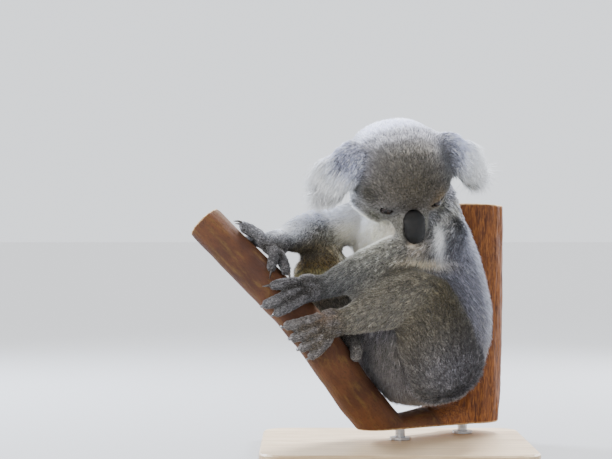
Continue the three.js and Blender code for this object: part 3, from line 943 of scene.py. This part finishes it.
def tufted(name, chosen, kind):
    """One coat piece from the chosen tufts."""
    corners, pattern, tints, patch = kind(chosen)
    n, per, count = len(chosen), corners.shape[1], len(pattern)
    triangles = (np.arange(n)[:, None, None] * per + pattern).reshape(-1, 3)
    mesh = bpy.data.meshes.new(name)
    mesh.vertices.add(n * per)
    mesh.vertices.foreach_set("co", corners.astype(np.float32).ravel())
    mesh.loops.add(len(triangles) * 3)
    mesh.loops.foreach_set("vertex_index", triangles.astype(np.int32).ravel())
    mesh.polygons.add(len(triangles))
    mesh.polygons.foreach_set("loop_start", np.arange(0, len(triangles) * 3, 3, dtype=np.int32))
    mesh.update(calc_edges=True)
    layer = mesh.uv_layers.new(name="OFBake")
    places = root_map[chosen][:, None, None, :] + patch[None] * PATCH
    layer.data.foreach_set("uv", places.astype(np.float32).ravel())
    colour_points(mesh, tints.reshape(-1, 3))
    piece = object_of(name, mesh, coat_finish)


part_of = owner[faces[:, 0]][root_face]
height = root[:, 2] / MM


def parts(*names):
    return np.isin(part_of, [FLESH.index(name) for name in names])


ARMS = ("upper_arm_left", "forearm_left", "upper_arm_right", "forearm_right")
GROUPS = [
    ("fur_head", parts("head") & ~small, spike_meshes, "fur_grey"),
    ("fur_face", parts("head", "neck") & small, spike_meshes, "fur_grey"),
    ("fur_ears", parts("ear_left", "ear_right"), lock_meshes, "fur_pale"),
    ("fur_neck", parts("neck") & ~small, lock_meshes, "fur_pale"),
    ("fur_rump", parts("trunk") & (height < 135), spike_meshes, "fur_grey"),
    ("fur_flanks", parts("trunk") & (height >= 135) & (height < 235), spike_meshes, "fur_grey"),
    ("fur_shoulders", parts("trunk") & (height >= 235), spike_meshes, "fur_grey"),
    ("fur_arms", parts(*ARMS) & ~small, spike_meshes, "fur_grey"),
    ("fur_leg_left", parts("thigh_left", "shin_left") & ~small, spike_meshes, "fur_grey"),
    ("fur_leg_right", parts("thigh_right", "shin_right") & ~small, spike_meshes, "fur_grey"),
    ("fur_paws", small & ~parts("head", "neck", "ear_left", "ear_right", "trunk"), spike_meshes, "fur_grey"),
]
for name, members, kind, slot in GROUPS:
    tufted(name, np.flatnonzero(members & keep), kind)

# ---- The eyes -----------------------------------------------------------------------------------
# Glass eyes set in the sockets: a dark brown iris with an upright slit of a pupil under a clear dome.

eye_finish, place, shader = finish(
    "eye_glass", 0.12, coat_weight=0.25, coat_roughness=0.03, specular_ior_level=0.25
)
eye_space = attribute(place, "eye_space", "Vector")
outwards = eye_space.stretched(1, 1, 0).far()
slit_pupil = eye_space.stretched(1.9, 0.8, 0).far()
spokes = eye_space.stretched(1, 1, 0.2).noise(5.0, 4.0)
iris = spokes.step(0.35, 0.7).mix(opaque(21, 13, 9), opaque(44, 27, 17))
iris = outwards.step(0.6, 0.76).mix(iris, opaque(12, 8, 7))
iris = (1 - slit_pupil.step(0.4, 0.48)).mix(iris, opaque(5, 4, 4))
into(outwards.step(0.84, 0.92).mix(iris, opaque(30, 21, 17)), shader["Base Color"])

for side, sign in SIDES:
    ball = bmesh.new()
    bmesh.ops.create_uvsphere(ball, u_segments=40, v_segments=24, radius=1.0)
    ahead = SOCKET_WAYS[side]
    aside_way = unit(np.cross(ahead, (0, 0, 1)))
    turn = np.stack([aside_way, np.cross(aside_way, ahead), ahead], 1)
    mesh = bpy.data.meshes.new(f"eyeball_{side}")
    ball.to_mesh(mesh)
    ball.free()
    flat, _, _ = arrays(mesh)
    layer = mesh.attributes.new("eye_space", "FLOAT_VECTOR", "POINT")
    layer.data.foreach_set("vector", flat.astype(np.float32).ravel())
    dome = flat * (1 + 0.05 * smooth_step(flat[:, 2], 0.55, 0.95))[:, None]
    placed = (EYES[side] + dome @ turn.T * (EYE_RADIUS - 0.25)) * MM
    move_to(mesh, placed @ HEAD[:3, :3].T + HEAD[:3, 3])
    piece = object_of(f"eyeball_{side}", mesh, eye_finish)
    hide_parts(f"eye_{side}")

# ---- The nose -----------------------------------------------------------------------------------
# A large upright pad of bare pebbled leather, near black, with a comma of a nostril at each lower
# side. It is cast in rubber and set into the muzzle.

NOSE_VOXEL = 0.9 * MM

nose_mesh = remeshed(merged_copy(["nose"], 0.4 * MM), NOSE_VOXEL)
points, faces, edges = arrays(nose_mesh)
points = averaged(points, edges, 14, 0.6)
local = in_head(points)
t = ((local[:, 2] + 27) / 19).clip(-1, 1)
local[:, 0] *= 0.95 + 0.3 * t**4
local[:, 2] = -16 + (local[:, 2] + 16) * 0.84
points = local * MM @ HEAD[:3, :3].T + HEAD[:3, 3]
outward = normals_of(points, faces)
push = np.zeros(len(points))
for _, sign in SIDES:
    push -= 3.2 * blob((7.4 * sign, -84, -37), (2.2, 6, 2.6), local)
    push -= 1.4 * blob((10.5 * sign, -80, -33), (1.8, 6, 3.2), local)
push += 0.9 * blob((0, -80, -14), (9, 14, 14), local)
push -= 0.5 * np.exp(-((local[:, 0] / 0.9) ** 2)) * (1 - smooth_step(local[:, 2], -34, -28))
points += outward * (push * MM)[:, None]
move_to(nose_mesh, points)
nose_finish, place, shader = finish("nose_leather", 0.5, specular_ior_level=0.3)
pebbles = place.add("ShaderNodeTexVoronoi", {"feature": "F1"}, {"Vector": place, "Scale": 1100.0})
mottle = place.noise(140.0, 3.0)
into(mottle.step(0.35, 0.7).mix(opaque(7, 7, 7), opaque(19, 16, 13)), shader["Base Color"])
into(0.42 + 0.2 * mottle, shader["Roughness"])
into(bump(pebbles, 0.5, 0.0005), shader["Normal"])
nose = object_of("nose_pad", nose_mesh, nose_finish)
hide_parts("nose")

# ---- The claws ----------------------------------------------------------------------------------
# Long curved claws of dark horn, one to each finger and toe but the great toes, sharp at the tip and
# faintly mottled.

claw_finish, place, shader = finish("claw_horn", 0.35, specular_ior_level=0.5, coat_weight=0.2)
mottle = place.noise(500.0, 3.0)
into(mottle.step(0.4, 0.65).mix(opaque(26, 22, 20), opaque(60, 52, 46)), shader["Base Color"])
into(bump(mottle, 0.25, 0.0003), shader["Normal"])
for paw, digits in (("hand", 5), ("foot", 4)):
    for side, _ in SIDES:
        nodes = [f"claw_{paw}_{side}_{number}" for number in range(1, digits + 1)]
        shells = merged_copy(nodes, 0.25 * MM)
        mesh = bpy.data.meshes.new(f"claws_{paw}_{side}")
        shells.to_mesh(mesh)
        shells.free()
        piece = object_of(f"claws_{paw}_{side}", mesh, claw_finish)
        rounded = piece.modifiers.new("rounded", "SUBSURF")
        rounded.levels = rounded.render_levels = 2
        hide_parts(*nodes)
